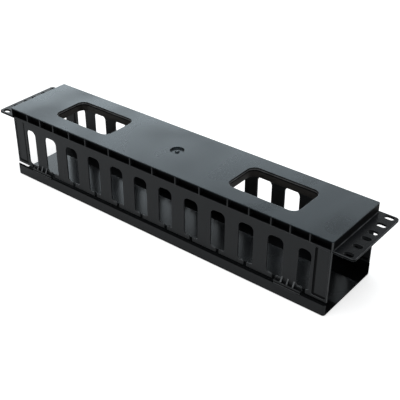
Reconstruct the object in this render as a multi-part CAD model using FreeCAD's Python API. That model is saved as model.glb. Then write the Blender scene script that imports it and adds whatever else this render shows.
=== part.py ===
# Horizontal cable duct for a nineteen inch rack, two units high, shown lying on its cover.
# X runs across the rack, Y along the rack's height and Z from the cover to the back plate.
# The origin is the middle of the cover's underside. Lengths are in millimetres.
import FreeCAD, Part
import math
import os

# Rack standard: a unit of height holds three holes, at a seventh, a half and six sevenths of it
rack_width = 482.6
rack_unit_height = 44.45
rack_hole_inset = 8.75
rack_slot_length = 10.0
rack_slot_height = 6.2

# How far a cutter passes the face that it opens, and how deep fused pieces run into each other
cut_clearance = 1.0
seam_depth = 0.5

# Overall sizes
total_depth = 87.4
unit_clearance = 2.4
ear_reach = 22.3
plate_thickness = 2.5
plate_corner_radius = 1.5
plate_edge_chamfer = 0.5

# Ears and end walls
ear_drop = 9.8
ear_thickness = 2.6
ear_corner_radius = 4.0
ear_root_chamfer = 0.7
end_wall_thickness = 2.4

# Finger walls
slot_count = 12
finger_width = 16.4
end_finger_width = 16.8
end_slot_narrowing_share = 0.2
wall_end_inset = 1.6
slot_top_margin = 9.2
slot_top_flat = 6.4
slot_corner_chamfer = 1.6
head_gap = 3.8
head_height = 4.8
head_tip_chamfer = 0.8
wall_inset = 1.4
wall_root_thickness = 2.0
wall_tip_thickness = 1.7
wall_foot_height = 15.6

# Side grooves under the plate's thin overhang
overhang_thickness = 1.0
groove_drop = 1.5
groove_floor_thickness = 1.4
groove_depth = 6.0
groove_web_thickness = 2.2
groove_rib_thickness = 1.5
groove_rib_inset = 0.2
middle_rib_pitch = 31.4
window_rib_pitch = 25.8
end_rib_pitch = 21.7

# Pass-through windows in the back plate
window_end_gap = 53.4
window_length = 83.0
window_width = 46.4
window_corner_radius = 9.0
window_rim_chamfer = 0.6
collar_thickness = 2.2
collar_depth = 8.7
collar_draft_width = 0.4

# Gate recess in the middle of the back plate
gate_radius = 8.0
gate_depth = 2.0
gate_bowl_radius = 7.4
gate_nub_radius = 2.0
gate_nub_foot_radius = 2.6
gate_nub_height = 1.5
gate_boss_radius = 10.5
gate_boss_depth = 1.8

# Sunk panels on the end fingers
panel_rim = 2.0
panel_slot_rim = 3.2
panel_sink = 0.7
panel_top_margin = 4.0
panel_foot_rim = 2.4
panel_corner_radius = 1.8

# Cover
cover_end_inset = 1.5
cover_side_margin = 0.95
cover_thickness = 2.2
cover_lip_height = 14.0
cover_lip_thickness = 2.2
cover_corner_radius = 3.0
cover_edge_chamfer = 0.9
cover_inner_fillet = 1.2
lip_top_chamfer = 0.5
lip_bead_height = 7.4
lip_bead_radius = 0.8
lip_bead_margin = 9.0

# Hinges, the same on both long sides
hinge_rod_radius = 1.4
hinge_fit = 0.05
hinge_height = 13.6
hinge_finger = 5
hinge_rod_reach = 1.55
lug_length = 31.0
lug_shelf_thickness = 1.8
lug_overhang = 2.9
gusset_count = 3
gusset_pitch = 7.0
gusset_thickness = 1.6
gusset_rise = 6.2
hinge_web_thickness = 1.2
clip_thickness = 1.1
clip_length = 24.0
clip_open_angle = -125.0
clip_grip_angle = 28.0
notch_clearance = 0.9
notch_floor_height = 12.2

# Sizes that follow from the ones above
rack_hole_offsets = (rack_unit_height / 7, rack_unit_height / 2, rack_unit_height * 6 / 7)
plate_length = rack_width - 2 * ear_reach
plate_width = 2 * rack_unit_height - unit_clearance
ear_face_height = total_depth - ear_drop
ear_foot_height = ear_face_height - ear_thickness
plate_foot_height = total_depth - plate_thickness
overhang_foot_height = total_depth - overhang_thickness
groove_floor_height = ear_face_height - groove_drop
groove_floor_foot = groove_floor_height - groove_floor_thickness
wall_length = plate_length - 2 * wall_end_inset
wall_face = plate_width / 2 - wall_inset
slot_pitch = (wall_length - 2 * end_finger_width + finger_width) / slot_count
slot_width = slot_pitch - finger_width
end_slot_narrowing = slot_width * end_slot_narrowing_share
slot_top_radius = (slot_width - slot_top_flat) / 2
slot_start = -(slot_count - 1) * slot_pitch / 2
slot_top_height = ear_foot_height - slot_top_margin
groove_face = wall_face - groove_depth
web_inner_face = groove_face - groove_web_thickness
head_top = wall_foot_height + head_height
window_centre = plate_length / 2 - window_end_gap - window_length / 2
cover_length = plate_length - 2 * cover_end_inset
cover_width = plate_width + 2 * cover_side_margin
lip_outer_face = cover_width / 2
lip_inner_face = lip_outer_face - cover_lip_thickness
hinge_offset = wall_face + hinge_rod_reach
hinge_centre = hinge_finger * slot_pitch
clip_inner_radius = hinge_rod_radius + hinge_fit
clip_outer_radius = clip_inner_radius + clip_thickness
sides = (-1, 1)


def vec(x, y, z):
    return FreeCAD.Vector(x, y, z)


def box(x_range, y_range, z_range):
    size = [high - low for low, high in (x_range, y_range, z_range)]
    return Part.makeBox(size[0], size[1], size[2], vec(x_range[0], y_range[0], z_range[0]))


def polygon_face(points):
    return Part.Face(Part.makePolygon(points + points[:1]))


def flip_x(shape):
    return shape.mirror(vec(0, 0, 0), vec(1, 0, 0))


def flip_y(shape):
    return shape.mirror(vec(0, 0, 0), vec(0, 1, 0))


def both_sides(shape):
    return [shape, flip_y(shape)]


def four_quarters(shape):
    pair = both_sides(shape)
    return pair + [flip_x(each) for each in pair]


def rounded_wire(centre, length, width, radius, height):
    # A rounded rectangle in a level plane, made of four lines and four arcs.
    half_x = length / 2
    half_y = width / 2
    turn = radius * (1 - math.sqrt(0.5))
    edges = []
    corners = ((1, 1), (-1, 1), (-1, -1), (1, -1))
    starts = []
    ends = []
    for sx, sy in corners:
        along_x = vec(centre + sx * (half_x - radius), sy * half_y, height)
        along_y = vec(centre + sx * half_x, sy * (half_y - radius), height)
        middle = vec(centre + sx * (half_x - turn), sy * (half_y - turn), height)
        first, last = (along_y, along_x) if sx * sy > 0 else (along_x, along_y)
        starts.append(first)
        ends.append(last)
        edges.append(Part.Arc(first, middle, last).toShape())
    for index in range(4):
        edges.append(Part.makeLine(ends[index], starts[(index + 1) % 4]))
    return Part.Wire(Part.__sortEdges__(edges))


def rounded_block(centre, length, width, radius, z_range):
    face = Part.Face(rounded_wire(centre, length, width, radius, z_range[0]))
    return face.extrude(vec(0, 0, z_range[1] - z_range[0]))


def drafted_block(centre, length, width, radius, z_range, draft):
    # The same outline at both ends, larger by the draft at the lower one.
    top = rounded_wire(centre, length, width, radius, z_range[1])
    foot = rounded_wire(centre, length + 2 * draft, width + 2 * draft, radius + draft, z_range[0])
    return Part.makeLoft([foot, top], True, True)


# Back plate, side grooves and finger walls

def wall_profile():
    # Section of one long side: finger wall, floor of the groove and the web behind the groove.
    points = (
        (-wall_face, wall_foot_height),
        (-wall_face, groove_floor_height),
        (-groove_face, groove_floor_height),
        (-groove_face, plate_foot_height),
        (-web_inner_face, plate_foot_height),
        (-web_inner_face, groove_floor_foot),
        (-(wall_face - wall_root_thickness), groove_floor_foot),
        (-(wall_face - wall_tip_thickness), wall_foot_height),
    )
    return polygon_face([vec(-wall_length / 2, y, z) for y, z in points])


def slot_outline(centre, reach_left, reach_right):
    # One finger slot with rounded top corners, narrowed at its foot by the heads of the two fingers beside it.
    half_gap = head_gap / 2
    below = wall_foot_height - cut_clearance
    shoulder = slot_top_height - slot_top_radius
    turn = slot_top_radius * (1 - math.sqrt(0.5))
    y = -wall_face - cut_clearance

    def at(x, z):
        return vec(centre + x, y, z)

    top_left = at(-reach_left + slot_top_radius, slot_top_height)
    top_right = at(reach_right - slot_top_radius, slot_top_height)
    edges = [Part.makeLine(top_left, top_right), Part.makeLine(at(-half_gap, below), at(half_gap, below))]
    for side, half, top_end in ((-1, reach_left, top_left), (1, reach_right, top_right)):
        foot = at(side * half_gap, below)
        tip_low = at(side * half_gap, head_top - head_tip_chamfer)
        tip_high = at(side * (half_gap + head_tip_chamfer), head_top)
        corner_low = at(side * (half - slot_corner_chamfer), head_top)
        corner_high = at(side * half, head_top + slot_corner_chamfer)
        arc_foot = at(side * half, shoulder)
        arc_middle = at(side * (half - turn), slot_top_height - turn)
        edges.append(Part.makeLine(foot, tip_low))
        edges.append(Part.makeLine(tip_low, tip_high))
        edges.append(Part.makeLine(tip_high, corner_low))
        edges.append(Part.makeLine(corner_low, corner_high))
        edges.append(Part.makeLine(corner_high, arc_foot))
        edges.append(Part.Arc(arc_foot, arc_middle, top_end).toShape())
    return Part.Face(Part.Wire(Part.__sortEdges__(edges)))


def slot_cutters():
    # The first and the last slot are narrower on the side of the end finger.
    reach = vec(0, wall_root_thickness + 2 * cut_clearance, 0)
    full = slot_width / 2
    short = full - end_slot_narrowing
    outlines = [slot_outline(slot_start, short, full), slot_outline(-slot_start, full, short)]
    for index in range(1, slot_count - 1):
        outlines.append(slot_outline(slot_start + index * slot_pitch, full, full))
    return [outline.extrude(reach) for outline in outlines]


def panel_cutter():
    # The sunk field of an end finger, open to the outside.
    low_x = -wall_length / 2 + panel_rim
    high_x = low_x - panel_rim + end_finger_width + end_slot_narrowing - panel_slot_rim
    low_z = wall_foot_height + panel_foot_rim
    high_z = ear_face_height - panel_top_margin
    y_range = (-wall_face - cut_clearance, -wall_face + panel_sink)
    field = box((low_x, high_x), y_range, (low_z, high_z))
    upright = [edge for edge in field.Edges if edge.BoundBox.YLength > panel_sink]
    return field.makeFillet(panel_corner_radius, upright)


def finger_wall():
    wall = wall_profile().extrude(vec(wall_length, 0, 0))
    panels = [panel_cutter(), flip_x(panel_cutter())]
    return wall.cut(slot_cutters() + panels)


def window_cutter(centre):
    reach = (plate_foot_height - cut_clearance, total_depth + cut_clearance)
    return rounded_block(centre, window_length, window_width, window_corner_radius, reach)


def overhang_cutter():
    # The room above a groove that leaves the plate thin there, between the end walls.
    half_x = plate_length / 2 - end_wall_thickness
    y_range = (-plate_width / 2 - cut_clearance, -groove_face)
    return box((-half_x, half_x), y_range, (plate_foot_height - cut_clearance, overhang_foot_height))


def back_plate():
    half_x = plate_length / 2
    half_y = plate_width / 2
    plate = box((-half_x, half_x), (-half_y, half_y), (plate_foot_height, total_depth))
    upright = [edge for edge in plate.Edges if edge.BoundBox.ZLength > plate_thickness / 2]
    plate = plate.makeFillet(plate_corner_radius, upright)
    plate = plate.makeChamfer(plate_edge_chamfer, top_edges(plate))
    outer_rim = top_edges(plate)
    plate = plate.cut([window_cutter(sign * window_centre) for sign in sides])
    rims = [edge for edge in top_edges(plate) if not is_one_of(edge, outer_rim)]
    plate = plate.makeChamfer(window_rim_chamfer, rims)
    return plate.cut(both_sides(overhang_cutter()))


def top_edges(shape):
    return [edge for edge in shape.Edges if edge.BoundBox.ZMin > total_depth - 0.01]


def is_one_of(edge, others):
    return any(edge.CenterOfMass.distanceToPoint(other.CenterOfMass) < 0.01 for other in others)


def end_wall():
    outer = plate_length / 2
    inner = outer - end_wall_thickness
    half_y = plate_width / 2
    wall = box((inner, outer), (-half_y, half_y), (ear_foot_height, plate_foot_height))
    upright = [edge for edge in wall.Edges if edge.BoundBox.ZLength > ear_drop / 2]
    corners = [edge for edge in upright if edge.BoundBox.XMin > inner + seam_depth]
    return wall.makeFillet(plate_corner_radius, corners)


def rib_places():
    middle = [middle_rib_pitch * step for step in (0, 1, 2)]
    beside_window = [window_centre + window_rib_pitch * step for step in (-1, 0, 1)]
    at_end = [beside_window[-1] + end_rib_pitch * step for step in (1, 2)]
    return middle, beside_window, at_end


def mirrored(places):
    return sorted({sign * place for place in places for sign in sides})


def groove_ribs():
    middle, beside_window, at_end = rib_places()
    half = groove_rib_thickness / 2
    outer = wall_face - groove_rib_inset
    ribs = []
    for place in mirrored(middle + beside_window + at_end):
        x_range = (place - half, place + half)
        rib = box(x_range, (-outer, -groove_face), (groove_floor_height, overhang_foot_height))
        ribs += both_sides(rib)
    return ribs


def collar(centre):
    # The wall around a pass-through window, a little deeper than the ears and drafted on its inside.
    outer_length = window_length + 2 * collar_thickness
    outer_width = window_width + 2 * collar_thickness
    radius = window_corner_radius
    level = (plate_foot_height - collar_depth, plate_foot_height)
    block = rounded_block(centre, outer_length, outer_width, radius + collar_thickness, level)
    draft = collar_draft_width
    return block.cut(drafted_block(centre, window_length, window_width, radius, level, draft))


def gate_boss():
    foot = vec(0, 0, plate_foot_height - gate_boss_depth)
    return Part.makeCylinder(gate_boss_radius, gate_boss_depth, foot)


def gate_recess_cutter():
    # A round recess turned about the vertical axis, with a small nub left standing in it.
    floor = total_depth - gate_depth
    nub_top = floor + gate_nub_height
    points = (
        (0, total_depth + cut_clearance),
        (gate_radius, total_depth + cut_clearance),
        (gate_radius, total_depth),
        (gate_bowl_radius, floor),
        (gate_nub_foot_radius, floor),
        (gate_nub_radius, nub_top),
        (0, nub_top),
    )
    return polygon_face([vec(r, 0, z) for r, z in points]).revolve(vec(0, 0, 0), vec(0, 0, 1), 360)


# Rack ears

def ear_slot(offset):
    # One slotted hole with round ends, long across the rack, centred on the standard's hole position.
    centre = rack_width / 2 - rack_hole_inset
    radius = rack_slot_height / 2
    half = rack_slot_length / 2 - radius
    low = ear_foot_height - cut_clearance

    def at(x, y):
        return vec(centre + x, offset + y, low)

    inner_end = Part.Arc(at(-half, radius), at(-half - radius, 0), at(-half, -radius))
    outer_end = Part.Arc(at(half, -radius), at(half + radius, 0), at(half, radius))
    lower_side = Part.makeLine(at(-half, -radius), at(half, -radius))
    upper_side = Part.makeLine(at(half, radius), at(-half, radius))
    outline = Part.Wire([inner_end.toShape(), lower_side, outer_end.toShape(), upper_side])
    return Part.Face(outline).extrude(vec(0, 0, ear_thickness + 2 * cut_clearance))


def ear():
    inner = plate_length / 2 - end_wall_thickness
    outer = rack_width / 2
    half_y = plate_width / 2
    tab = box((inner, outer), (-half_y, half_y), (ear_foot_height, ear_face_height))
    upright = [edge for edge in tab.Edges if edge.BoundBox.ZLength > ear_thickness / 2]
    corners = [edge for edge in upright if edge.BoundBox.XMin > inner + seam_depth]
    tab = tab.makeFillet(ear_corner_radius, corners)
    offsets = [sign * offset for offset in rack_hole_offsets for sign in sides]
    return tab.cut([ear_slot(offset) for offset in offsets])


def ear_root():
    # A small fillet of material where the ear meets the end wall.
    outer = plate_length / 2
    half_y = plate_width / 2 - plate_corner_radius
    corner = vec(outer, -half_y, ear_face_height)
    along = vec(outer + ear_root_chamfer, -half_y, ear_face_height)
    above = vec(outer, -half_y, ear_face_height + ear_root_chamfer)
    return polygon_face([corner, along, above]).extrude(vec(0, 2 * half_y, 0))


# Hinge lugs on the fingers

def gusset(centre):
    # A triangular rib that leans out from the finger to the edge of the shelf.
    shelf_top = wall_foot_height + lug_shelf_thickness
    start = centre - gusset_thickness / 2
    points = (
        (-wall_face, shelf_top + gusset_rise),
        (-wall_face, shelf_top),
        (-(wall_face + lug_overhang), shelf_top),
        (-(wall_face + lug_overhang), shelf_top + gusset_thickness / 2),
    )
    return polygon_face([vec(start, y, z) for y, z in points]).extrude(vec(gusset_thickness, 0, 0))


def hinge_rod():
    start = vec(hinge_centre - lug_length / 2, -hinge_offset, hinge_height)
    return Part.makeCylinder(hinge_rod_radius, lug_length, start, vec(1, 0, 0))


def hinge_lug():
    # Shelf, web, rod and gussets on the outside of one finger.
    low_x = hinge_centre - lug_length / 2
    high_x = hinge_centre + lug_length / 2
    shelf_top = wall_foot_height + lug_shelf_thickness
    outer = wall_face + lug_overhang
    shelf_faces = (-outer, -wall_face + seam_depth)
    shelf = box((low_x, high_x), shelf_faces, (wall_foot_height, shelf_top))
    web_half = hinge_web_thickness / 2
    web_faces = (-hinge_offset - web_half, -hinge_offset + web_half)
    web = box((low_x, high_x), web_faces, (hinge_height, wall_foot_height))
    first = -(gusset_count - 1) / 2
    gussets = [gusset(hinge_centre + (first + index) * gusset_pitch) for index in range(gusset_count)]
    return shelf.fuse([web, hinge_rod()] + gussets)


def duct_base():
    wall = finger_wall()
    body = back_plate().fuse(both_sides(wall) + [end_wall(), flip_x(end_wall()), gate_boss()])
    body = body.fuse([ear(), flip_x(ear()), ear_root(), flip_x(ear_root())])
    body = body.fuse(groove_ribs() + [collar(sign * window_centre) for sign in sides])
    body = body.fuse(four_quarters(hinge_lug()))
    return body.cut(gate_recess_cutter()).removeSplitter()


# Cover

def cover_shell():
    # A shallow channel with its long edges turned up into lips.
    half_x = cover_length / 2
    outer = rounded_block(0, cover_length, cover_width, cover_corner_radius, (0, cover_lip_height))
    foot = [edge for edge in outer.Edges if edge.BoundBox.ZMax < 0.01]
    outer = outer.makeChamfer(cover_edge_chamfer, foot)
    inner_faces = (-lip_inner_face, lip_inner_face)
    x_range = (-half_x - cut_clearance, half_x + cut_clearance)
    trough = box(x_range, inner_faces, (cover_thickness, cover_lip_height + cut_clearance))
    low = [edge for edge in trough.Edges if edge.BoundBox.ZMax < cover_thickness + 0.01]
    long_foot = [edge for edge in low if edge.BoundBox.XLength > half_x]
    shell = outer.cut(trough.makeFillet(cover_inner_fillet, long_foot))
    return shell.makeChamfer(lip_top_chamfer, [edge for edge in shell.Edges if is_lip_top(edge)])


def is_lip_top(edge):
    bounds = edge.BoundBox
    return bounds.ZMin > cover_lip_height - 0.01 and bounds.XLength > cover_length / 2


def lip_bead():
    # A half-round bead along the inside of a lip.
    length = cover_length - 2 * lip_bead_margin
    start = vec(-length / 2, -lip_inner_face, lip_bead_height)
    bead = Part.makeCylinder(lip_bead_radius, length, start, vec(1, 0, 0))
    keep = box((-length / 2, length / 2), (-lip_inner_face - seam_depth, 0), (0, cover_lip_height))
    return bead.common(keep)


def notch_cutter():
    # Room in the lip for a hinge lug.
    half = lug_length / 2 + notch_clearance
    x_range = (hinge_centre - half, hinge_centre + half)
    y_range = (-lip_outer_face - cut_clearance, -lip_inner_face + 2 * cut_clearance)
    return box(x_range, y_range, (notch_floor_height, cover_lip_height + cut_clearance))


def clip_outline():
    # The hook of a clip around the hinge rod, open at its outer side.
    def at(radius, angle):
        turned = math.radians(angle)
        y = -hinge_offset + radius * math.cos(turned)
        return vec(hinge_centre - clip_length / 2, y, hinge_height + radius * math.sin(turned))

    middle = (clip_open_angle + clip_grip_angle) / 2
    inner = [at(clip_inner_radius, angle) for angle in (clip_open_angle, middle, clip_grip_angle)]
    outer = [at(clip_outer_radius, angle) for angle in (clip_grip_angle, middle, clip_open_angle)]
    edges = [Part.Arc(inner[0], inner[1], inner[2]).toShape(), Part.makeLine(inner[2], outer[0])]
    edges += [Part.Arc(outer[0], outer[1], outer[2]).toShape(), Part.makeLine(outer[2], inner[0])]
    return Part.Face(Part.Wire(edges))


def rod_clearance():
    length = lug_length + 2 * notch_clearance
    start = vec(hinge_centre - length / 2, -hinge_offset, hinge_height)
    return Part.makeCylinder(clip_inner_radius, length, start, vec(1, 0, 0))


def hinge_clip():
    return clip_outline().extrude(vec(clip_length, 0, 0))


def duct_cover():
    body = cover_shell()
    body = body.cut(four_quarters(notch_cutter()))
    body = body.fuse(both_sides(lip_bead()))
    body = body.fuse(four_quarters(hinge_clip()))
    return body.cut(four_quarters(rod_clearance())).removeSplitter()


def write_part(name, shape):
    shape.exportStep("parts/" + name + ".step")


os.makedirs("parts", exist_ok=True)
write_part("duct_base", duct_base())
write_part("duct_cover", duct_cover())
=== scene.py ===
import bpy
import bmesh
from bmesh.types import BMFace, BMVert
from math import cos, degrees, radians, sin
from mathutils import Matrix, Vector


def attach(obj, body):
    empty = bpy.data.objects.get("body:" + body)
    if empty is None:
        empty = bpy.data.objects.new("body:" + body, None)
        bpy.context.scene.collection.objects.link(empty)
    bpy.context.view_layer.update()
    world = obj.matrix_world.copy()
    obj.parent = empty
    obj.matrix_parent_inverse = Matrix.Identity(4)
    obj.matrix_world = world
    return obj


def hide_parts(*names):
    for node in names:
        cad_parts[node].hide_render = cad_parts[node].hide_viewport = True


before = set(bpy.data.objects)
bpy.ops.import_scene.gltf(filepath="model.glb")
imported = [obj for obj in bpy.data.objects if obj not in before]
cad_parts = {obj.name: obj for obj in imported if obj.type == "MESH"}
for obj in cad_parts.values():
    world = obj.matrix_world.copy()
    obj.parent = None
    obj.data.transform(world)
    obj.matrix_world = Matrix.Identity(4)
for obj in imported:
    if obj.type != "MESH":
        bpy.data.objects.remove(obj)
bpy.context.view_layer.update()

mm = 0.001
scene = bpy.context.scene


# camera
camera = {
    "target": (64.29, -63.24, 57.4),  # point the lens axis passes through, mm
    "distance": 832.16,
    "azimuth": 39.562,
    "elevation": 33.617,
    "roll": -0.423,
    "focalPixels": 833.11,  # focal length in pixels of a frame 400 wide
    "axisPixel": (186.39, 220.04),  # where the lens axis meets the frame
    "frameSize": 400,
    "sensor": 36.0,
    "clip": (0.01, 50),
}


def buildCamera(spec):
    a, e, roll = (radians(spec[key]) for key in ("azimuth", "elevation", "roll"))
    back = Vector((sin(a) * cos(e), -cos(a) * cos(e), sin(e)))
    right = Vector((cos(a), sin(a), 0))
    up = back.cross(right)
    sideways = right * cos(roll) + up * sin(roll)
    upright = up * cos(roll) - right * sin(roll)
    place = Vector(spec["target"]) * mm + back * spec["distance"] * mm
    data = bpy.data.cameras.new("photoCamera")
    data.sensor_width = spec["sensor"]
    data.lens = spec["focalPixels"] / spec["frameSize"] * spec["sensor"]
    half = spec["frameSize"] / 2
    data.shift_x = (half - spec["axisPixel"][0]) / spec["frameSize"]
    data.shift_y = (spec["axisPixel"][1] - half) / spec["frameSize"]
    data.clip_start, data.clip_end = spec["clip"]
    obj = bpy.data.objects.new("photoCamera", data)
    scene.collection.objects.link(obj)
    turn = Matrix((sideways, upright, back)).transposed().to_4x4()
    obj.matrix_world = Matrix.Translation(place) @ turn
    scene.camera = obj


buildCamera(camera)
print("stage: camera")


# shader helpers
def newMaterial(name):
    mat = bpy.data.materials.new(name)
    mat.use_nodes = True
    mat.node_tree.nodes.clear()
    return mat, mat.node_tree


def node(tree, kind, **settings):
    made = tree.nodes.new("ShaderNode" + kind)
    for key, value in settings.items():
        if key in made.bl_rna.properties:
            setattr(made, key, value)
        else:
            made.inputs[key.replace("_", " ")].default_value = value
    return made


def spread(tree, value, low, high, fromLow=0.3, fromHigh=0.7):
    # stretches a value between two ends, held there
    made = node(tree, "MapRange")
    for key, number in (("From Min", fromLow), ("From Max", fromHigh), ("To Min", low), ("To Max", high)):
        made.inputs[key].default_value = number
    tree.links.new(value, made.inputs["Value"])
    return made.outputs["Result"]


def blend(tree, kind, first, second):
    made = node(tree, "Math", operation=kind)
    for socket, value in zip(made.inputs, (first, second)):
        if isinstance(value, (int, float)):
            socket.default_value = value
        else:
            tree.links.new(value, socket)
    return made.outputs[0]


# stage
stage = {
    "floorColour": (0.80, 0.80, 0.80, 1),
    "floorGlow": (0.72, 0.93),  # near the duct and far from it
    "glowReach": (0.6, 2.4),
    "worldColour": (1.0, 1.0, 1.0, 1),
    "worldLight": 0.12,
    "worldMirrored": 0.6,  # how much of the white surroundings shows in reflections
    "floorSize": 12.0,
    "floorDrop": 0.0002,
}


def buildFloor(spec):
    bm = bmesh.new()
    bmesh.ops.create_grid(bm, x_segments=1, y_segments=1, size=spec["floorSize"] / 2)
    mesh = bpy.data.meshes.new("studioFloor")
    bm.to_mesh(mesh)
    bm.free()
    floor = bpy.data.objects.new("studioFloor", mesh)
    scene.collection.objects.link(floor)
    floor.location.z = -spec["floorDrop"]
    mat, tree = newMaterial("studioFloorPaper")
    diffuse = node(tree, "BsdfDiffuse", Color=spec["floorColour"])
    coords = node(tree, "TexCoord")
    away = node(tree, "VectorMath", operation="LENGTH")
    tree.links.new(coords.outputs["Object"], away.inputs[0])
    fade = spread(tree, away.outputs["Value"], *spec["floorGlow"], *spec["glowReach"])
    glow = node(tree, "Emission")
    tree.links.new(fade, glow.inputs["Strength"])
    rays = node(tree, "LightPath")
    seen = node(tree, "MixShader")
    dark = node(tree, "Emission", Strength=0.0)
    tree.links.new(rays.outputs["Is Camera Ray"], seen.inputs[0])
    tree.links.new(dark.outputs[0], seen.inputs[1])
    tree.links.new(glow.outputs[0], seen.inputs[2])
    paper = node(tree, "AddShader")
    tree.links.new(diffuse.outputs[0], paper.inputs[0])
    tree.links.new(seen.outputs[0], paper.inputs[1])
    out = node(tree, "OutputMaterial")
    tree.links.new(paper.outputs[0], out.inputs["Surface"])
    mesh.materials.append(mat)


def buildWorld(spec):
    world = bpy.data.worlds.new("studioWorld")
    world.use_nodes = True
    tree = world.node_tree
    tree.nodes.clear()
    rays = node(tree, "LightPath")
    seen = blend(tree, "MAXIMUM", rays.outputs["Is Camera Ray"], rays.outputs["Is Transmission Ray"])
    dimmed = blend(tree, "MULTIPLY", rays.outputs["Is Glossy Ray"], spec["worldMirrored"])
    mirrored = blend(tree, "MAXIMUM", seen, dimmed)
    strength = node(tree, "Mix", data_type="FLOAT")
    strength.inputs["A"].default_value = spec["worldLight"]
    strength.inputs["B"].default_value = 1.0
    tree.links.new(mirrored, strength.inputs["Factor"])
    back = node(tree, "Background", Color=spec["worldColour"])
    tree.links.new(strength.outputs["Result"], back.inputs["Strength"])
    out = node(tree, "OutputWorld")
    tree.links.new(back.outputs[0], out.inputs["Surface"])
    scene.world = world


softboxes = {
    "keyAbove": {"place": (0.1, -0.25, 1.7), "aim": (0, 0, 0.05), "size": (1.6, 1.2),
                 "power": 16, "colour": (0.97, 0.99, 1)},
    "backLeft": {"place": (-1.56, 1.66, 0.66), "aim": (0, 0, 0.05), "size": (2.6, 1.3),
                 "power": 31, "colour": (0.86, 0.95, 1)},
}


def buildSoftbox(name, spec):
    data = bpy.data.lights.new(name, "AREA")
    data.shape = "RECTANGLE"
    data.size, data.size_y = spec["size"]
    data.energy = spec["power"]
    data.color = spec["colour"]
    lamp = bpy.data.objects.new(name, data)
    scene.collection.objects.link(lamp)
    place = Vector(spec["place"])
    aim = Vector(spec["aim"]) - place
    lamp.location = place
    lamp.rotation_euler = aim.to_track_quat("-Z", "Y").to_euler()


buildFloor(stage)
buildWorld(stage)
for name, spec in softboxes.items():
    buildSoftbox(name, spec)
scene.view_settings.view_transform = "Standard"
print("stage: floor, world and softboxes")


# modelling helpers, sizes in millimetres
near = 0.01  # how close counts as the same place
mergeReach = 0.02
sharpAngle = 35  # degrees; a sharper edge can be rounded
creaseAngle = 40  # degrees; a sharper edge is shaded as a crease
flatNormal = 0.9999  # a face whose normal lies nearer to an axis is flat
# how strong the painted highlight is on some rounded edges; the other rounded edges have 1
highlightStrength = {"wallEnds": 3.5, "gussets": 3.5, "ears": 2.5, "windowSides": 4}


def everything(bm):
    return list(bm.verts) + list(bm.edges) + list(bm.faces)


def only(parts, kind):
    return [part for part in parts if isinstance(part, kind)]


def outline(bm, points, roundings=()):
    # a flat outline in the ground plane; each rounding is (corner numbers, radius, segments)
    corners = [bm.verts.new((x, y, 0)) for x, y in points]
    bm.faces.new(corners)
    for numbers, radius, segments in roundings:
        bmesh.ops.bevel(bm, geom=[corners[number] for number in numbers], offset=radius,
                        offset_type="OFFSET", affect="VERTICES", segments=segments, profile=0.5,
                        clamp_overlap=False, material=-1)


def roundedRectangle(bm, size, centre, radius, segments):
    halfX, halfY = size[0] / 2, size[1] / 2
    signs = ((-1, -1), (1, -1), (1, 1), (-1, 1))
    points = [(centre[0] + signX * halfX, centre[1] + signY * halfY) for signX, signY in signs]
    outline(bm, points, [(range(4), radius, segments)])


def thicken(bm, thickness):
    # fills the outlines drawn so far, inner ones as holes, and raises them into a closed solid
    bmesh.ops.remove_doubles(bm, verts=list(bm.verts), dist=mergeReach)
    bmesh.ops.delete(bm, geom=list(bm.faces), context="FACES_ONLY")
    bmesh.ops.triangle_fill(bm, use_beauty=True, use_dissolve=False, edges=list(bm.edges), normal=(0, 0, 1))
    raised = bmesh.ops.extrude_face_region(bm, geom=list(bm.faces))["geom"]
    bmesh.ops.translate(bm, vec=(0, 0, thickness), verts=only(raised, BMVert))
    bmesh.ops.recalc_face_normals(bm, faces=list(bm.faces))


def highlightLayer(bm):
    # a mark on the faces of rounded edges, which get a painted highlight in the plastics
    return bm.faces.layers.float.get("edgeHighlight") or bm.faces.layers.float.new("edgeHighlight")


def roundEdges(bm, radius, segments, chosen=lambda edge: True):
    # rounds the sharp edges that chosen() picks and marks the new faces for a painted highlight
    mark = highlightLayer(bm)
    edges = [edge for edge in bm.edges
             if edge.is_manifold and degrees(edge.calc_face_angle(0)) > sharpAngle and chosen(edge)]
    made = bmesh.ops.bevel(bm, geom=edges, offset=radius, offset_type="OFFSET", affect="EDGES",
                           segments=segments, profile=0.5, clamp_overlap=False, material=-1)["faces"]
    for face in made:
        face[mark] = 1


def strengthenHighlights(bm, test, amount):
    # gives the rounded edges at some place a stronger painted highlight than the rest
    mark = highlightLayer(bm)
    for face in bm.faces:
        if face[mark] > 0 and test(face.calc_center_median()):
            face[mark] = amount


def both(edge, test):
    return all(test(vert.co) for vert in edge.verts)


def block(bm, low, high):
    made = bmesh.ops.create_cube(bm, size=1)["verts"]
    size = [b - a for a, b in zip(low, high)]
    middle = [(a + b) / 2 for a, b in zip(low, high)]
    bmesh.ops.scale(bm, vec=size, verts=made)
    bmesh.ops.translate(bm, vec=middle, verts=made)


def drawOut(bm, corners, path):
    # the face between the corners, drawn out into a closed bar
    face = bm.faces.new([bm.verts.new(corner) for corner in corners])
    drawn = bmesh.ops.extrude_face_region(bm, geom=[face])["geom"]
    bmesh.ops.translate(bm, vec=path, verts=only(drawn, BMVert))
    bmesh.ops.recalc_face_normals(bm, faces=list(bm.faces))


def bar(bm, section, start, end):
    # a section of (y, z) points drawn out along the rack
    drawOut(bm, [(start, y, z) for y, z in section], (end - start, 0, 0))


def split(bm, point, direction, parts=None):
    # cuts faces in two along a plane, so that each side can have its own finish
    bmesh.ops.bisect_plane(bm, geom=parts or everything(bm), plane_co=point, plane_no=direction)


def rod(bm, radius, start, length, segments):
    # a round bar along the rack, its middle line from start
    made = bmesh.ops.create_cone(bm, cap_ends=True, segments=segments, radius1=radius, radius2=radius,
                                 depth=length)["verts"]
    bmesh.ops.rotate(bm, verts=made, cent=(0, 0, 0), matrix=Matrix.Rotation(radians(90), 3, "Y"))
    bmesh.ops.translate(bm, vec=(start[0] + length / 2, start[1], start[2]), verts=made)


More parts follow.
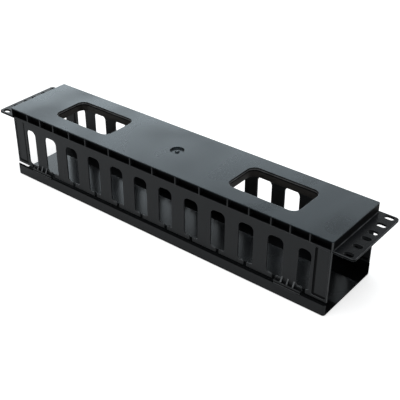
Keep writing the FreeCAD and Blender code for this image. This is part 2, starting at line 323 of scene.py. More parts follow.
def standUp(bm, y):
    # turns a solid drawn in the ground plane upright, so that its raised face is at y and looks forward
    bmesh.ops.rotate(bm, verts=list(bm.verts), cent=(0, 0, 0), matrix=Matrix.Rotation(radians(90), 3, "X"))
    bmesh.ops.translate(bm, vec=(0, y - min(vert.co.y for vert in bm.verts), 0), verts=list(bm.verts))


def mirrorOver(bm, axis):
    # adds the mirror image across the middle plane of an axis
    copy = bmesh.ops.duplicate(bm, geom=everything(bm))["geom"]
    size = [1, 1, 1]
    size[axis] = -1
    bmesh.ops.scale(bm, vec=size, verts=only(copy, BMVert))
    bmesh.ops.reverse_faces(bm, faces=only(copy, BMFace))


def fixOrder(bm):
    # puts corners, edges and faces in the order of their places, which is the same in each run
    def sortBy(elements, key):
        ranks = {element: rank for rank, element in enumerate(sorted(elements, key=key))}
        elements.sort(key=ranks.get)
        elements.index_update()

    sortBy(bm.verts, lambda vert: tuple(round(part, 5) for part in vert.co))
    sortBy(bm.edges, lambda edge: sorted(vert.index for vert in edge.verts))
    sortBy(bm.faces, lambda face: sorted(vert.index for vert in face.verts))


def moulding(name, shells):
    # joins closed shells into one mesh object; each is (bmesh, finish number or a choice made by face)
    whole = bmesh.new()
    highlightLayer(whole)
    for shell, finish in shells:
        highlightLayer(shell)
        for face in shell.faces:
            face.material_index = finish(face) if callable(finish) else finish
            face.smooth = max(abs(part) for part in face.normal) < flatNormal
        for edge in shell.edges:
            edge.smooth = degrees(edge.calc_face_angle(0)) < creaseAngle
        fixOrder(shell)
        part = bpy.data.meshes.new("shell")
        shell.to_mesh(part)
        shell.free()
        whole.from_mesh(part)
        bpy.data.meshes.remove(part)
    bmesh.ops.scale(whole, vec=(mm, mm, mm), verts=list(whole.verts))
    mesh = bpy.data.meshes.new(name)
    whole.to_mesh(mesh)
    whole.free()
    obj = bpy.data.objects.new(name, mesh)
    scene.collection.objects.link(obj)
    return obj


# duct base
backPlate = {
    "size": (438.0, 86.5), "foot": 84.9, "skinFoot": 86.4, "top": 87.4,
    "cornerRadius": 1.5, "cornerSteps": 6, "edgeRadius": 0.45, "edgeSteps": 3,
    "coreSize": (437.0, 71.7), "coreRadius": 1.0,
    "windowCentre": 124.1, "windowSize": (83.0, 46.4), "windowRadius": 9.0, "windowSteps": 12,
    "windowRim": 0.8, "rimSteps": 4,
    "rimReach": (60, 30),  # what lies nearer to a window's middle belongs to the window
    "levelNormal": 0.97,  # a face near a window whose normal rises less belongs to its rim
    "gateRadius": 8.0, "gateSteps": 48,
}


def nearWindow(spec, point):
    reachX, reachY = spec["rimReach"]
    return abs(abs(point.x) - spec["windowCentre"]) < reachX and abs(point.y) < reachY


def windowedSheet(spec, size, cornerRadius, foot, top):
    # a flat sheet with both windows and the round hole of the gate
    bm = bmesh.new()
    roundedRectangle(bm, size, (0, 0), cornerRadius, spec["cornerSteps"])
    for side in (-1, 1):
        roundedRectangle(bm, spec["windowSize"], (side * spec["windowCentre"], 0), spec["windowRadius"],
                         spec["windowSteps"])
    bmesh.ops.create_circle(bm, cap_ends=True, radius=spec["gateRadius"], segments=spec["gateSteps"])
    thicken(bm, top - foot)
    bmesh.ops.translate(bm, vec=(0, 0, foot), verts=list(bm.verts))
    return bm


def buildPlateSkin(spec):
    # the thin sheet that shows, reaching out over the grooves
    bm = windowedSheet(spec, spec["size"], spec["cornerRadius"], spec["skinFoot"], spec["top"])
    top = spec["top"] - near
    edgeX, edgeY = (side / 2 - spec["cornerRadius"] - 0.1 for side in spec["size"])
    isOuter = lambda point: point.z > top and (abs(point.x) > edgeX or abs(point.y) > edgeY)
    isWindow = lambda point: point.z > top and nearWindow(spec, point)
    roundEdges(bm, spec["edgeRadius"], spec["edgeSteps"], lambda edge: both(edge, isOuter))
    roundEdges(bm, spec["windowRim"], spec["rimSteps"], lambda edge: both(edge, isWindow))
    return bm


def buildPlateCore(spec):
    # the rest of the plate's thickness, between the grooves
    bm = windowedSheet(spec, spec["coreSize"], spec["coreRadius"], spec["foot"], spec["skinFoot"])
    mark = highlightLayer(bm)
    # the sides of the windows get a strong painted highlight
    for face in bm.faces:
        if abs(face.normal.z) < 0.5:
            face[mark] = highlightStrength["windowSides"]
    return bm


gateDish = {
    # turned about the middle: (radius, height)
    "profile": ((0, 86.7), (0.8, 86.74), (1.1, 86.88), (1.75, 86.88), (2.0, 86.7), (2.5, 85.5),
                (2.75, 85.4), (7.1, 85.4), (7.4, 85.55), (7.75, 87.1), (7.85, 87.3), (8.02, 87.4),
                (8.02, 84.9), (10.5, 84.9), (10.5, 83.3), (10.3, 83.1), (0, 83.1)),
    "steps": 64,
}


def buildGateDish(spec):
    bm = bmesh.new()
    verts = [bm.verts.new((radius, 0, height)) for radius, height in spec["profile"]]
    edges = [bm.edges.new(pair) for pair in zip(verts, verts[1:])]
    bmesh.ops.spin(bm, geom=verts + edges, cent=(0, 0, 0), axis=(0, 0, 1), angle=radians(360),
                   steps=spec["steps"], use_merge=True, use_duplicate=False)
    bmesh.ops.remove_doubles(bm, verts=list(bm.verts), dist=0.001)
    bmesh.ops.recalc_face_normals(bm, faces=list(bm.faces))
    return bm


fingerWall = {
    "halfLength": 217.4, "foot": 15.6, "top": 76.1, "face": 41.85,
    "rootThickness": 2.0, "tipThinning": 0.3, "rootHeight": 74.7,
    "slots": 12, "pitch": 34.8, "slotWidth": 18.4, "endSlotNarrowing": 3.68, "slotTop": 65.8,
    "topRadius": 6.0, "topSteps": 12, "cornerRadius": 2.8, "cornerSteps": 6,
    "headTop": 20.4, "headGap": 3.8, "tipRadius": 1.0, "tipSteps": 4,
    "edgeRadius": 0.35, "edgeSteps": 3, "innerRadius": 0.25, "innerSteps": 2,
    "longEdge": 60,  # longer edges of the inner face stay sharp
    "panelX": (200.12, 215.4), "panelZ": (18.0, 73.6), "panelRadius": 1.8, "panelSteps": 5,
    "panelSink": 0.7, "panelLap": 0.8, "panelGap": 0.02, "shadedStrip": 2.6,
}


def thinTowardsFoot(bm, spec):
    # the inner face leans, so that the wall is thinner at its foot
    slope = spec["tipThinning"] / (spec["rootHeight"] - spec["foot"])
    inner = max(vert.co.y for vert in bm.verts) - near
    for vert in bm.verts:
        if vert.co.y > inner:
            vert.co.y -= slope * max(0, spec["rootHeight"] - vert.co.z)


def buildFingerWall(spec):
    bm = bmesh.new()
    half, gap, last = spec["slotWidth"] / 2, spec["headGap"] / 2, spec["slots"] - 1
    points = [(-spec["halfLength"], spec["foot"])]
    tips, corners, arches = [], [], []
    for number in range(spec["slots"]):
        centre = (number - last / 2) * spec["pitch"]
        first = len(points)
        left = centre - half + (spec["endSlotNarrowing"] if number == 0 else 0)
        right = centre + half - (spec["endSlotNarrowing"] if number == last else 0)
        points += [(centre - gap, spec["foot"]), (centre - gap, spec["headTop"]), (left, spec["headTop"]),
                   (left, spec["slotTop"]), (right, spec["slotTop"]),
                   (right, spec["headTop"]), (centre + gap, spec["headTop"]), (centre + gap, spec["foot"])]
        tips += [first + 1, first + 6]
        corners += [first + 2, first + 5]
        arches += [first + 3, first + 4]
    points += [(spec["halfLength"], spec["foot"]), (spec["halfLength"], spec["top"]),
               (-spec["halfLength"], spec["top"])]
    outline(bm, points, [(tips, spec["tipRadius"], spec["tipSteps"]),
                         (corners, spec["cornerRadius"], spec["cornerSteps"]),
                         (arches, spec["topRadius"], spec["topSteps"])])
    panelSize = [high - low for low, high in (spec["panelX"], spec["panelZ"])]
    panelCentre = [(low + high) / 2 for low, high in (spec["panelX"], spec["panelZ"])]
    for side in (-1, 1):
        roundedRectangle(bm, panelSize, (side * panelCentre[0], panelCentre[1]), spec["panelRadius"],
                         spec["panelSteps"])
    thicken(bm, spec["rootThickness"])
    standUp(bm, -spec["face"])
    thinTowardsFoot(bm, spec)
    outerFace = lambda point: point.y < -spec["face"] + near
    pastMiddle = -spec["face"] + 0.6 * spec["rootThickness"]
    innerFace = lambda point: point.y > pastMiddle and point.z < spec["top"] - 0.1
    roundEdges(bm, spec["edgeRadius"], spec["edgeSteps"], lambda edge: both(edge, outerFace))
    roundEdges(bm, spec["innerRadius"], spec["innerSteps"],
               lambda edge: both(edge, innerFace) and edge.calc_length() < spec["longEdge"]
               and abs(edge.verts[0].co.y - edge.verts[1].co.y) < spec["tipThinning"])
    # the rounded ends of the wall get a stronger painted highlight
    strengthenHighlights(bm, lambda point: abs(point.x) > spec["halfLength"] - 1.2 * spec["edgeRadius"],
                highlightStrength["wallEnds"])
    mirrorOver(bm, 1)
    return bm


def buildPanelBacks(spec):
    # what is left of the wall behind the sunk field of an end finger
    bm = bmesh.new()
    lap, strip = spec["panelLap"], spec["shadedStrip"]
    lowX, highX = spec["panelX"]
    lowZ, highZ = spec["panelZ"]
    block(bm, (lowX - lap, -spec["face"] + spec["panelSink"], lowZ - lap),
          (highX + lap, -spec["face"] + spec["rootThickness"] - spec["panelGap"], highZ + lap))
    # cut so that the strips along the field's foot and inner side can take painted shade
    split(bm, (lowX + strip, 0, 0), (1, 0, 0))
    split(bm, (0, 0, lowZ + strip), (0, 0, 1))
    thinTowardsFoot(bm, spec)
    mirrorOver(bm, 0)
    mirrorOver(bm, 1)
    return bm


groove = {
    "ledge": ((-40.6, 74.7), (-40.6, 76.1), (-35.85, 76.1), (-35.85, 84.95), (-33.65, 84.95),
              (-33.65, 74.7)),
    "halfLength": 217.3, "ribThickness": 1.5, "ribOuter": 41.65, "ribInner": 35.8,
    "ribFoot": 76.05, "ribTop": 86.42, "ribEdge": 0.3, "ribSteps": 2,
    "ribPlaces": (0, 31.4, 62.8, 98.3, 124.1, 149.9, 171.6, 193.3),
}


def buildGroove(spec):
    bm = bmesh.new()
    bar(bm, spec["ledge"], -spec["halfLength"], spec["halfLength"])
    mirrorOver(bm, 1)
    return bm


def buildGrooveRibs(spec):
    bm = bmesh.new()
    half = spec["ribThickness"] / 2
    for x in sorted({sign * place for place in spec["ribPlaces"] for sign in (-1, 1)}):
        block(bm, (x - half, -spec["ribOuter"], spec["ribFoot"]),
              (x + half, -spec["ribInner"], spec["ribTop"]))
    isOuter = lambda point: point.y < -spec["ribOuter"] + near
    roundEdges(bm, spec["ribEdge"], spec["ribSteps"],
               lambda edge: both(edge, isOuter) and abs(edge.verts[0].co.x - edge.verts[1].co.x) < near)
    mirrorOver(bm, 1)
    return bm


collars = {
    "size": (87.4, 50.8), "radius": 11.2, "draft": 0.4, "foot": 76.2, "top": 84.95,
    "footRadius": 0.5, "footSteps": 3,
    "shadeFoot": 83.4,  # above it the collar has painted shade
}


def buildCollars(spec, plate):
    bm = bmesh.new()
    roundedRectangle(bm, spec["size"], (0, 0), spec["radius"], plate["windowSteps"])
    roundedRectangle(bm, plate["windowSize"], (0, 0), plate["windowRadius"], plate["windowSteps"])
    thicken(bm, spec["top"] - spec["foot"])
    bmesh.ops.translate(bm, vec=(0, 0, spec["foot"]), verts=list(bm.verts))
    halfX, halfY = (size / 2 for size in plate["windowSize"])
    isFoot = lambda point: point.z < spec["foot"] + near
    flare = [vert for vert in bm.verts
             if isFoot(vert.co) and abs(vert.co.x) < halfX + near and abs(vert.co.y) < halfY + near]
    bmesh.ops.scale(bm, vec=(1 + spec["draft"] / halfX, 1 + spec["draft"] / halfY, 1), verts=flare)
    roundEdges(bm, spec["footRadius"], spec["footSteps"], lambda edge: both(edge, isFoot))
    # cut so that the collar's top can take painted shade
    split(bm, (0, 0, spec["shadeFoot"]), (0, 0, 1))
    bmesh.ops.translate(bm, vec=(plate["windowCentre"], 0, 0), verts=list(bm.verts))
    mirrorOver(bm, 0)
    return bm


ends = {
    "inner": 216.6, "outer": 219.0, "halfWidth": 43.25, "foot": 75.0, "top": 86.42,
    "cornerRadius": 1.5, "cornerSteps": 6,
    "earOuter": 241.3, "earThickness": 2.6, "earLap": 0.5, "earRadius": 4.0, "earSteps": 8,
    "earEdge": 0.45, "earEdgeSteps": 3, "holeEdge": 0.3, "holeEdgeSteps": 2,
    "holeCentre": 232.55, "holeSize": (10.0, 6.2), "holeOffsets": (6.35, 22.225, 38.1),
    "holeSteps": 8, "holeSpare": 0.005, "holeEdgeLength": 7, "rimMargin": 0.1,
    "rootFillet": 0.8, "rootLap": 0.3,
    # the hollow curve between the fillet's two ends, in shares of its size
    "rootCurve": ((0.47, 0.08), (0.2, 0.2), (0.08, 0.47)),
}


def buildEndWalls(spec):
    bm = bmesh.new()
    block(bm, (spec["inner"], -spec["halfWidth"], spec["foot"]),
          (spec["outer"], spec["halfWidth"], spec["top"]))
    isOuter = lambda point: point.x > spec["outer"] - near
    roundEdges(bm, spec["cornerRadius"], spec["cornerSteps"],
               lambda edge: both(edge, isOuter) and abs(edge.verts[0].co.z - edge.verts[1].co.z) > 1)
    # the rounded corners get a stronger painted highlight
    strengthenHighlights(bm, lambda point: True, highlightStrength["wallEnds"])
    mirrorOver(bm, 0)
    return bm


def buildEars(spec):
    bm = bmesh.new()
    half = spec["halfWidth"]
    inner, outer = spec["outer"] - spec["earLap"], spec["earOuter"]
    holeX, holeY = (size / 2 for size in spec["holeSize"])
    outline(bm, [(inner, -half), (outer, -half), (outer, half), (inner, half)],
            [((1, 2), spec["earRadius"], spec["earSteps"])])
    for offset in spec["holeOffsets"]:
        for side in (-1, 1):
            roundedRectangle(bm, spec["holeSize"], (spec["holeCentre"], side * offset),
                             holeY - spec["holeSpare"], spec["holeSteps"])
    thicken(bm, spec["earThickness"])
    bmesh.ops.translate(bm, vec=(0, 0, spec["foot"]), verts=list(bm.verts))
    margin, rounded = spec["rimMargin"], 1.2 * spec["earEdge"]
    pastHolesX = spec["holeCentre"] + holeX + margin
    pastHolesY = spec["holeOffsets"][-1] + holeY + margin
    level = lambda edge: abs(edge.verts[0].co.z - edge.verts[1].co.z) < near
    isShort = lambda edge: edge.calc_length() < spec["holeEdgeLength"]
    isHole = lambda point: point.x < pastHolesX and abs(point.y) < pastHolesY
    isRim = lambda point: point.x > outer - margin or abs(point.y) > half - spec["earRadius"] - margin
    roundEdges(bm, spec["holeEdge"], spec["holeEdgeSteps"],
               lambda edge: level(edge) and isShort(edge) and both(edge, isHole))
    roundEdges(bm, spec["earEdge"], spec["earEdgeSteps"], lambda edge: level(edge) and both(edge, isRim))
    # the ear's outer edges get a stronger painted highlight
    strengthenHighlights(bm, lambda point: abs(point.y) > half - rounded or point.x > outer - rounded,
                highlightStrength["ears"])
    mirrorOver(bm, 0)
    return bm


def buildEarRoots(spec):
    # the small hollow fillet between an ear and its end wall
    bm = bmesh.new()
    base, wall, size = spec["foot"] + spec["earThickness"], spec["outer"], spec["rootFillet"]
    reach = spec["halfWidth"] - spec["cornerRadius"]
    curve = [(x * size, z * size) for x, z in spec["rootCurve"]]
    points = [(-spec["rootLap"], -spec["rootLap"]), (size, 0)] + curve + [(0, size)]
    drawOut(bm, [(wall + x, -reach, base + z) for x, z in points], (0, 2 * reach, 0))
    # the whole fillet gets a painted highlight
    mark = highlightLayer(bm)
    for face in bm.faces:
        face[mark] = highlightStrength["ears"]
    mirrorOver(bm, 0)
    return bm


hinge = {
    "centre": 174.0, "length": 31.0, "wallFace": 41.85, "axisY": 43.4, "axisZ": 13.6,
    "rodRadius": 1.4, "rodSteps": 32,
    "shelfFoot": 15.6, "shelfTop": 17.4, "shelfLap": 0.6, "overhang": 2.9, "edge": 0.3, "edgeSteps": 3,
    "webThickness": 1.2, "lap": 0.2,
    "gussetPitch": 7.0, "gussetThickness": 1.6, "gussetRise": 6.2, "gussetFoot": 0.8,
    "gussetLap": 0.3, "gussetInset": 0.05,
    "slopeArea": 3,  # a gusset's smaller faces get no painted highlight
}


def buildHingeLugs(spec):
    bm = bmesh.new()
    low, high = spec["centre"] - spec["length"] / 2, spec["centre"] + spec["length"] / 2
    wall, outer = -spec["wallFace"], spec["wallFace"] + spec["overhang"]
    block(bm, (low, -outer, spec["shelfFoot"]), (high, wall + spec["shelfLap"], spec["shelfTop"]))
    isOuter = lambda point: point.y < -outer + near
    roundEdges(bm, spec["edge"], spec["edgeSteps"], lambda edge: both(edge, isOuter))
    web = spec["webThickness"] / 2
    block(bm, (low, -spec["axisY"] - web, spec["axisZ"]),
          (high, -spec["axisY"] + web, spec["shelfFoot"] + spec["lap"]))
    rod(bm, spec["rodRadius"], (low, -spec["axisY"], spec["axisZ"]), spec["length"], spec["rodSteps"])
    mark = highlightLayer(bm)
    foot, top = spec["shelfTop"] - spec["lap"], spec["shelfTop"] + spec["gussetRise"]
    inner, toe = wall + spec["gussetLap"], -outer + spec["gussetInset"]
    section = ((inner, top), (inner, foot), (toe, foot), (toe, spec["shelfTop"] + spec["gussetFoot"]),
               (wall, top))
    for step in (-1, 0, 1):
        start = spec["centre"] + step * spec["gussetPitch"] - spec["gussetThickness"] / 2
        bar(bm, section, start, start + spec["gussetThickness"])
    # the larger faces that look up and out, where light falls, get a painted highlight
    for face in bm.faces:
        looksUpAndOut = face.normal.y < -0.2 and face.normal.z > 0.2
        face[mark] = highlightStrength["gussets"] if looksUpAndOut and face.calc_area() > spec["slopeArea"] else 0
    mirrorOver(bm, 0)
    mirrorOver(bm, 1)
    return bm


plateFinish, wallFinish, earFinish, shadeFinish, litCollarFinish = 0, 1, 2, 3, 4


def skinFinish(face):
    # the rims of the windows have painted shade
    isRim = nearWindow(backPlate, face.calc_center_median()) and face.normal.z < backPlate["levelNormal"]
    return shadeFinish if isRim else plateFinish


def coreFinish(face):
    # the sides of the windows have the collars' lighter warm colour, a painted light
    return plateFinish if abs(face.normal.z) > 0.5 else litCollarFinish


def shadedCollar(face):
    # painted shade on the collar's top
    return shadeFinish if face.calc_center_median().z > collars["shadeFoot"] else litCollarFinish


def panelFinish(face):
    # painted shade: a sunk field is darker along its foot and along its side by the last slot
    middle, strip = face.calc_center_median(), fingerWall["shadedStrip"]
    isShaded = abs(middle.x) < fingerWall["panelX"][0] + strip or middle.z < fingerWall["panelZ"][0] + strip
    return shadeFinish if isShaded else wallFinish


def endFinish(face):
    # painted shade on the flat faces of the end walls; their rounded corners keep the wall's finish
    return wallFinish if 0.05 < abs(face.normal.x) < 0.95 else shadeFinish


def lugFinish(face):
    # painted shade on the top of a lug's shelf
    isShelfTop = face.normal.z > 0.3 and face.calc_center_median().z < hinge["shelfTop"] + 0.1
    return shadeFinish if isShelfTop else wallFinish


ductBase = moulding("ductBase", [
    (buildPlateSkin(backPlate), skinFinish),
    (buildPlateCore(backPlate), coreFinish),
    (buildGateDish(gateDish), plateFinish),
    (buildFingerWall(fingerWall), wallFinish),
    (buildPanelBacks(fingerWall), panelFinish),
    # the groove has painted shade
    (buildGroove(groove), shadeFinish),
    (buildGrooveRibs(groove), wallFinish),
    (buildCollars(collars, backPlate), shadedCollar),
    (buildEndWalls(ends), endFinish),
    (buildEars(ends), earFinish),
    (buildEarRoots(ends), earFinish),
    (buildHingeLugs(hinge), lugFinish),
])
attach(ductBase, "base")
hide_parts("duct_base")
print("stage: duct base", len(ductBase.data.polygons), "faces")


# duct cover
cover = {
    "size": (435.0, 88.4), "lipTop": 14.0, "floorTop": 2.2, "lipThickness": 2.2,
    "cornerRadius": 3.0, "cornerSteps": 8, "footRadius": 1.2, "footSteps": 5,
    "lipRadius": 0.6, "lipSteps": 3, "innerFillet": 1.2, "filletSteps": 5,
    "innerLipRadius": 0.5, "lipLean": 0.29,  # where a two-step rounding bends, as a share of its radius
    "notchFloor": 12.2, "notchSpare": 0.9, "notchDepth": 4, "notchRadius": 0.5, "notchSteps": 3,
    "rodClearance": 1.45, "rodSteps": 48,
    "beadHeight": 7.4, "beadRadius": 0.8, "beadMargin": 9.0, "beadSteps": 20,
    "beadEdge": 0.4, "beadEdgeSteps": 2,
    "clipLength": 24.0, "clipRadii": (1.45, 2.55), "clipStart": -125, "clipSweep": 153,
    "clipSteps": 20,
    "polishedHalf": 21.5,  # half the width of the polished strip
    "satinBand": (1.6, 12.9),  # heights between which the outside is satin; above and below it the outside has painted shade
    "floorReach": 0.05,
}


def onTroughFloor(spec, point):
    return abs(point.z - spec["floorTop"]) < spec["floorReach"]


def looseObject(name, bm):
    # its elements are put in order first, because what a cut leaves depends on it
    fixOrder(bm)
    mesh = bpy.data.meshes.new(name)
    bm.to_mesh(mesh)
    bm.free()
    obj = bpy.data.objects.new(name, mesh)
    scene.collection.objects.link(obj)
    return obj


def buildCoverBlock(spec):
    bm = bmesh.new()
    roundedRectangle(bm, spec["size"], (0, 0), spec["cornerRadius"], spec["cornerSteps"])
    thicken(bm, spec["lipTop"])
    isFoot = lambda point: point.z < near
    isTop = lambda point: point.z > spec["lipTop"] - near
    roundEdges(bm, spec["footRadius"], spec["footSteps"], lambda edge: both(edge, isFoot))
    roundEdges(bm, spec["lipRadius"], spec["lipSteps"], lambda edge: both(edge, isTop))
    return bm


def buildTrough(spec):
    # the space between the lips, as wide at its foot as the fillets leave it
    bm = bmesh.new()
    half = spec["size"][1] / 2 - spec["lipThickness"]
    top, ease = spec["lipTop"], spec["innerLipRadius"]
    lean = spec["lipLean"] * ease
    profile = [(-half, spec["floorTop"]), (half, spec["floorTop"]), (half, top - ease),
               (half + lean, top - lean), (half + ease, top), (half + ease, top + 1),
               (-half - ease, top + 1), (-half - ease, top), (-half - lean, top - lean),
               (-half, top - ease)]
    outline(bm, profile, [((0, 1), spec["innerFillet"], spec["filletSteps"])])
    thicken(bm, spec["size"][0] + 2)
    verts = list(bm.verts)
    alongRack = Matrix(((0, 0, 1), (1, 0, 0), (0, 1, 0)))
    bmesh.ops.rotate(bm, verts=verts, cent=(0, 0, 0), matrix=alongRack)
    bmesh.ops.translate(bm, vec=(-spec["size"][0] / 2 - 1, 0, 0), verts=verts)
    return bm


def buildNotches(spec, lug):
    # room in the lips for the hinge lugs and their rods
    bm = bmesh.new()
    half = lug["length"] / 2 + spec["notchSpare"]
    face = spec["size"][1] / 2
    block(bm, (lug["centre"] - half, -face - 1, spec["notchFloor"]),
          (lug["centre"] + half, -face + spec["notchDepth"], spec["lipTop"] + 1))
    isFoot = lambda point: point.z < spec["notchFloor"] + near
    roundEdges(bm, spec["notchRadius"], spec["notchSteps"],
               lambda edge: both(edge, isFoot) and abs(edge.verts[0].co.x - edge.verts[1].co.x) < near)
    mirrorOver(bm, 0)
    mirrorOver(bm, 1)
    return bm


def buildRodRoom(spec, lug):
    bm = bmesh.new()
    length = lug["length"] + 2 * spec["notchSpare"]
    start = (lug["centre"] - length / 2, -lug["axisY"], lug["axisZ"])
    rod(bm, spec["rodClearance"], start, length, spec["rodSteps"])
    mirrorOver(bm, 0)
    mirrorOver(bm, 1)
    return bm


def buildCoverShell(spec, lug):
    body = looseObject("coverBlock", buildCoverBlock(spec))
    cutters = [looseObject("trough", buildTrough(spec)), looseObject("notches", buildNotches(spec, lug)),
               looseObject("rodRoom", buildRodRoom(spec, lug))]
    for cutter in cutters:
        cut = body.modifiers.new(cutter.name, "BOOLEAN")
        cut.operation = "DIFFERENCE"
        cut.solver = "EXACT"
        cut.object = cutter
    bpy.context.view_layer.update()
    graph = bpy.context.evaluated_depsgraph_get()
    result = bpy.data.meshes.new_from_object(body.evaluated_get(graph))
    bm = bmesh.new()
    bm.from_mesh(result)
    fixOrder(bm)
    bpy.data.meshes.remove(result)
    for each in cutters + [body]:
        mesh = each.data
        bpy.data.objects.remove(each)
        bpy.data.meshes.remove(mesh)
    # the trough floor and the outside are cut so that the margins and the top and foot bands can take
    # painted shade
    for side in (-1, 1):
        floor = [face for face in bm.faces
                 if face.normal.z > 0.99 and onTroughFloor(spec, face.calc_center_median())]
        edges = list(dict.fromkeys(edge for face in floor for edge in face.edges))
        verts = list(dict.fromkeys(vert for face in floor for vert in face.verts))
        split(bm, (0, side * spec["polishedHalf"], 0), (0, 1, 0), verts + edges + floor)
    for height in spec["satinBand"]:
        split(bm, (0, 0, height), (0, 0, 1))
    return bm


def buildBeads(spec):
    # the half-round bead along the inside of a lip
    bm = bmesh.new()
    length = spec["size"][0] - 2 * spec["beadMargin"]
    side = -spec["size"][1] / 2 + spec["lipThickness"]
    rod(bm, spec["beadRadius"], (-length / 2, side, spec["beadHeight"]), length, spec["beadSteps"])
    roundEdges(bm, spec["beadEdge"], spec["beadEdgeSteps"])
    mirrorOver(bm, 1)
    return bm


def buildClips(spec, lug):
    # a strip swept around the hinge rod, open on its outer side
    bm = bmesh.new()
    inner, outer = spec["clipRadii"]
    start = radians(spec["clipStart"])
    low = lug["centre"] - spec["clipLength"] / 2
    high = lug["centre"] + spec["clipLength"] / 2
    axis = (0, -lug["axisY"], lug["axisZ"])
    corners = [bm.verts.new((x, axis[1] + radius * cos(start), axis[2] + radius * sin(start)))
               for x, radius in ((low, inner), (high, inner), (high, outer), (low, outer))]
    strip = bm.faces.new(corners)
    bmesh.ops.spin(bm, geom=[strip], cent=axis, axis=(1, 0, 0), angle=radians(spec["clipSweep"]),
                   steps=spec["clipSteps"], use_merge=False, use_duplicate=False)
    bmesh.ops.recalc_face_normals(bm, faces=list(bm.faces))
    mirrorOver(bm, 0)
    mirrorOver(bm, 1)
    return bm


outsideFinish, stripFinish, coverShadeFinish = 0, 1, 2


def coverFinish(face):
    # a polished strip along the trough, satin sides and underside, and painted shade on all the rest
    middle = face.calc_center_median()
    inLips = abs(middle.y) < cover["size"][1] / 2 - cover["lipThickness"] + 0.02
    low, high = cover["satinBand"]
    if not (middle.z > high or near < middle.z < low or inLips and middle.z > cover["floorTop"] - near):
        return outsideFinish
    isStrip = onTroughFloor(cover, middle) and abs(middle.y) < cover["polishedHalf"]
    return stripFinish if isStrip else coverShadeFinish


ductCover = moulding("ductCover", [
    (buildCoverShell(cover, hinge), coverFinish),
    (buildBeads(cover), coverShadeFinish),
    (buildClips(cover, hinge), outsideFinish),
])
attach(ductCover, "cover")
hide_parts("duct_cover")
print("stage: duct cover", len(ductCover.data.polygons), "faces")


# plastics
def newGroup(name, inputs, outputs):
    # inputs are (name, lowest, standard, highest) or just a vector's name
    tree = bpy.data.node_groups.new(name, "ShaderNodeTree")
    for socket in inputs:
        if isinstance(socket, str):
            tree.interface.new_socket(socket, in_out="INPUT", socket_type="NodeSocketVector")
        else:
            made = tree.interface.new_socket(socket[0], in_out="INPUT", socket_type="NodeSocketFloat")
            made.min_value, made.default_value, made.max_value = socket[1:]
    for title in outputs:
        tree.interface.new_socket(title, in_out="OUTPUT", socket_type="NodeSocketFloat")
    return tree, tree.nodes.new("NodeGroupInput"), tree.nodes.new("NodeGroupOutput")


def mouldGrainGroup():
    # the fine spark-eroded skin of the mould: small bumps with pits between them
    inputs = ["Place", ("Scale", 1, 2400, 9000), ("Pits", 0, 0.4, 1)]
    tree, source, result = newGroup("mouldGrain", inputs, ["Height"])
    bumps = node(tree, "TexNoise", Detail=3.0, Roughness=0.55)
    pits = node(tree, "TexVoronoi", feature="SMOOTH_F1", Smoothness=0.6)
    for each in (bumps, pits):
        tree.links.new(source.outputs["Place"], each.inputs["Vector"])
        tree.links.new(source.outputs["Scale"], each.inputs["Scale"])
    deep = blend(tree, "MULTIPLY", pits.outputs["Distance"], source.outputs["Pits"])
    tree.links.new(blend(tree, "ADD", bumps.outputs["Fac"], deep), result.inputs["Height"])
    return tree


def sheenPatchesGroup():
    # wide soft patches where the melt filled the mould unevenly, with faint flow bands around the gate
    inputs = ["Place", ("Scale", 0.5, 9, 60), ("Flow", 0, 0.2, 1)]
    tree, source, result = newGroup("sheenPatches", inputs, ["Patch"])
    cloud = node(tree, "TexNoise", Detail=2.0, Roughness=0.45, Distortion=0.6)
    tree.links.new(source.outputs["Place"], cloud.inputs["Vector"])
    tree.links.new(source.outputs["Scale"], cloud.inputs["Scale"])
    rings = node(tree, "TexWave", wave_type="RINGS", rings_direction="Z", Scale=4.5, Distortion=3.0,
                 Detail=2.0)
    tree.links.new(source.outputs["Place"], rings.inputs["Vector"])
    centred = blend(tree, "SUBTRACT", rings.outputs["Fac"], 0.5)
    flow = blend(tree, "MULTIPLY", centred, source.outputs["Flow"])
    tree.links.new(blend(tree, "ADD", cloud.outputs["Fac"], flow), result.inputs["Patch"])
    return tree


def edgeHighlightGroup():
    # a painted highlight on rounded edges, broken up so that it doesn't read as a drawn line
    tree, source, result = newGroup("paintedEdgeHighlights", ["Place", ("Break up", 1, 90, 900)], ["Mask"])
    mark = node(tree, "Attribute", attribute_name="edgeHighlight")
    chips = node(tree, "TexNoise", Detail=4.0)
    tree.links.new(source.outputs["Place"], chips.inputs["Vector"])
    tree.links.new(source.outputs["Break up"], chips.inputs["Scale"])
    uneven = spread(tree, chips.outputs["Fac"], 0.35, 1.0)
    tree.links.new(blend(tree, "MULTIPLY", mark.outputs["Fac"], uneven), result.inputs["Mask"])
    return tree


def dustGroup():
    # a thin settled dust, thicker on faces that look up
    tree, source, result = newGroup("settledDust", ["Place", ("Scale", 1, 700, 5000)], ["Mask"])
    specks = node(tree, "TexNoise", Detail=5.0, Roughness=0.7)
    tree.links.new(source.outputs["Place"], specks.inputs["Vector"])
    tree.links.new(source.outputs["Scale"], specks.inputs["Scale"])
    few = spread(tree, specks.outputs["Fac"], 0.0, 1.0, 0.56, 0.78)
    facing = node(tree, "NewGeometry")
    parts = node(tree, "SeparateXYZ")
    tree.links.new(facing.outputs["Normal"], parts.inputs["Vector"])
    upward = spread(tree, parts.outputs["Z"], 0.15, 1.0, 0.0, 1.0)
    tree.links.new(blend(tree, "MULTIPLY", few, upward), result.inputs["Mask"])
    return tree


groups = {
    "grain": mouldGrainGroup(),
    "patches": sheenPatchesGroup(),
    # the painted highlight on rounded edges
    "edges": edgeHighlightGroup(),
    "dust": dustGroup(),
}


def place(tree, kind, coords, **values):
    made = tree.nodes.new("ShaderNodeGroup")
    made.node_tree = groups[kind]
    tree.links.new(coords.outputs["Object"], made.inputs["Place"])
    for key, value in values.items():
        made.inputs[key.replace("_", " ")].default_value = value
    return made.outputs[0]


